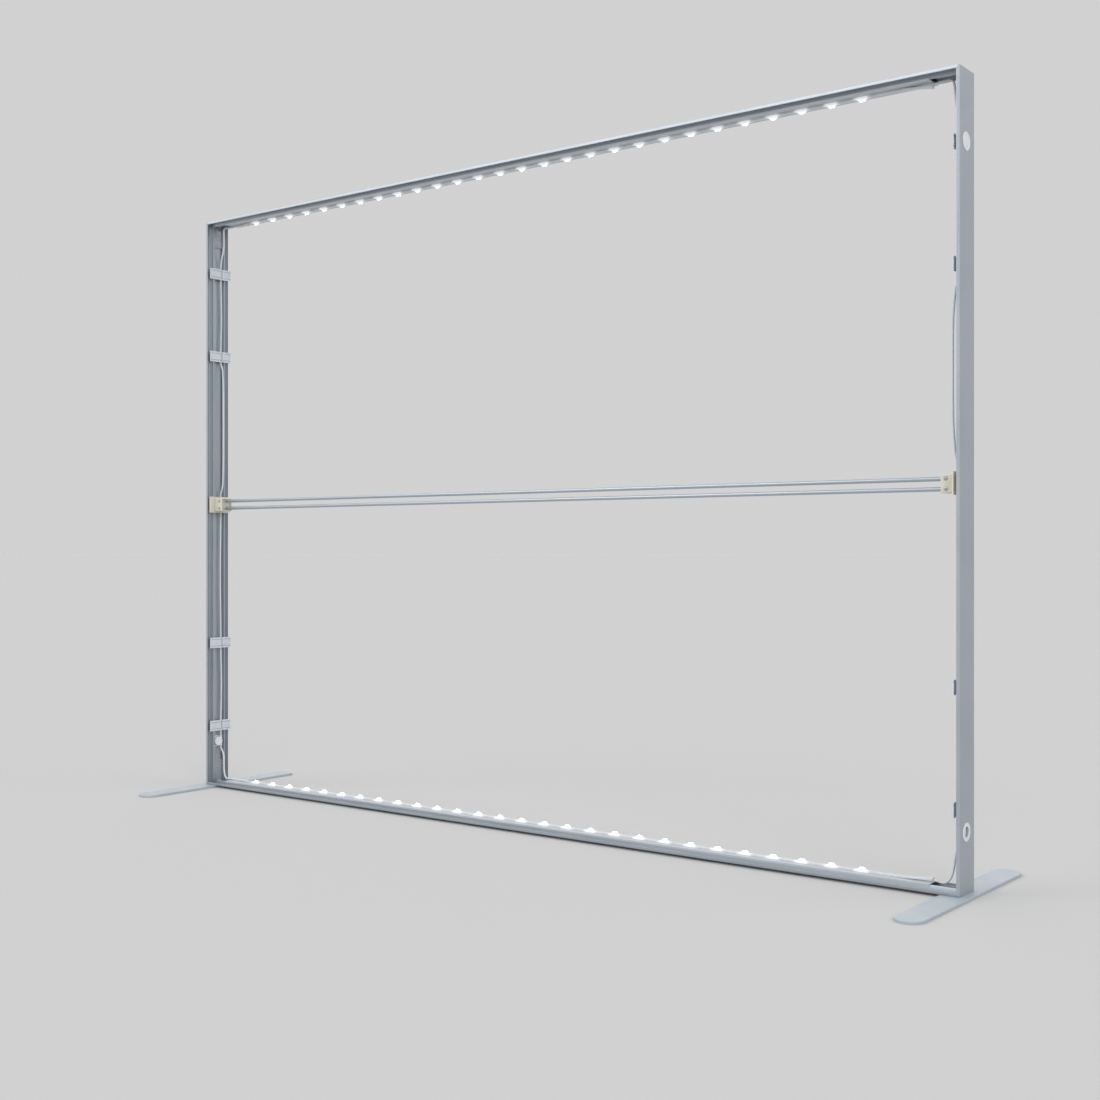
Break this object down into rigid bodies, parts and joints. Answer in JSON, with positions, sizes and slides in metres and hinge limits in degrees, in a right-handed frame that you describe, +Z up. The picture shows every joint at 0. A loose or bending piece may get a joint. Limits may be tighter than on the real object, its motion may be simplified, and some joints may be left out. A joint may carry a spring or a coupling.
{
  "type": "lightbox display wall",
  "caption": "Free-standing edge-lit frame for stretched fabric prints, with lamp rows in its rails, leads clipped in its posts, a sliding crossbar and flat swivelling feet.",
  "frame": {"origin": "on the floor, under the middle of the frame", "axes": "+X along the wall to the power inlet's side, +Y from the front to the back, +Z up"},
  "size_m": [3.05, 0.72, 2.1583],
  "materials": {
    "frame_coat": "satin anodised, slightly cool grey-white",
    "key_metal": "mill finish",
    "carrier_metal": "white-coated sheet, satin",
    "rod_metal": "satin tube",
    "lamp_plastic": "white with clear lenses",
    "plug_plastic": "fine matt",
    "lead_sheath": "smooth, slightly soft sheath",
    "clip_plastic": "fine matt, moulded",
    "clamp_plastic": "uncoloured, slightly yellow, satin",
    "cap_plastic": "smooth moulded",
    "socket_plastic": "smooth moulded, with a grey socket face",
    "plated_steel": "zinc-plated",
    "foot_coat": "silver-grey powder coat"
  },
  "bodies": {
    "frame": {"cable_clip_left_1": "clip_plastic", "cable_clip_left_2": "clip_plastic", "cable_clip_left_3": "clip_plastic", "cable_clip_left_4": "clip_plastic", "cable_clip_right_1": "clip_plastic", "cable_clip_right_2": "clip_plastic", "cable_clip_right_3": "clip_plastic", "cable_clip_right_4": "clip_plastic", "corner_key_bottom_left": "key_metal", "corner_key_bottom_right": "key_metal", "corner_key_top_left": "key_metal", "corner_key_top_right": "key_metal", "feed_bar_bottom": "lamp_plastic", "feed_bar_top": "lamp_plastic", "foot_bolt_left": "plated_steel", "foot_bolt_right": "plated_steel", "key_screw_bottom_left_post": "plated_steel", "key_screw_bottom_left_rail": "plated_steel", "key_screw_bottom_right_post": "plated_steel", "key_screw_bottom_right_rail": "plated_steel", "key_screw_top_left_post": "plated_steel", "key_screw_top_left_rail": "plated_steel", "key_screw_top_right_post": "plated_steel", "key_screw_top_right_rail": "plated_steel", "lamp_bar_bottom_1": "lamp_plastic", "lamp_bar_bottom_2": "lamp_plastic", "lamp_bar_bottom_3": "lamp_plastic", "lamp_bar_bottom_4": "lamp_plastic", "lamp_bar_top_1": "lamp_plastic", "lamp_bar_top_2": "lamp_plastic", "lamp_bar_top_3": "lamp_plastic", "lamp_bar_top_4": "lamp_plastic", "lamp_carrier_bottom": "carrier_metal", "lamp_carrier_top": "carrier_metal", "lead_bottom_left": "lead_sheath", "lead_bottom_right": "lead_sheath", "lead_plug_bottom": "plug_plastic", "lead_plug_top": "plug_plastic", "lead_top_left": "lead_sheath", "lead_top_right": "lead_sheath", "link_outlet": "socket_plastic", "post_left": "frame_coat", "post_right": "frame_coat", "power_inlet": "socket_plastic", "rail_bottom": "frame_coat", "rail_top": "frame_coat"},
    "crossbar": {"clamp_screw_left_lower": "plated_steel", "clamp_screw_left_upper": "plated_steel", "clamp_screw_right_lower": "plated_steel", "clamp_screw_right_upper": "plated_steel", "crossbar_clamp_left": "clamp_plastic", "crossbar_clamp_right": "clamp_plastic", "crossbar_rod_lower": "rod_metal", "crossbar_rod_upper": "rod_metal"},
    "foot_left": {"foot_left": "foot_coat"},
    "foot_right": {"foot_right": "foot_coat"},
    "cap_left": {"hole_cap_left": "cap_plastic"},
    "cap_right": {"hole_cap_right": "cap_plastic"}
  },
  "joints": [
    {"name": "foot_left_swivel", "type": "hinge", "parent": "frame", "child": "foot_left", "pos_m": [-1.485, 0, 0], "axis": [0, 0, 1], "range_deg": [-90, 90]},
    {"name": "foot_right_swivel", "type": "hinge", "parent": "frame", "child": "foot_right", "pos_m": [1.485, 0, 0], "axis": [0, 0, 1], "range_deg": [-90, 90]},
    {"name": "crossbar_slide", "type": "slide", "parent": "frame", "child": "crossbar", "axis": [0, 0, 1], "range_m": [-0.45, 0.008]},
    {"name": "cap_left_pull", "type": "slide", "parent": "frame", "child": "cap_left", "axis": [-1, 0, 0], "range_m": [0, 0.012]},
    {"name": "cap_right_pull", "type": "slide", "parent": "frame", "child": "cap_right", "axis": [1, 0, 0], "range_m": [0, 0.012]}
  ]
}
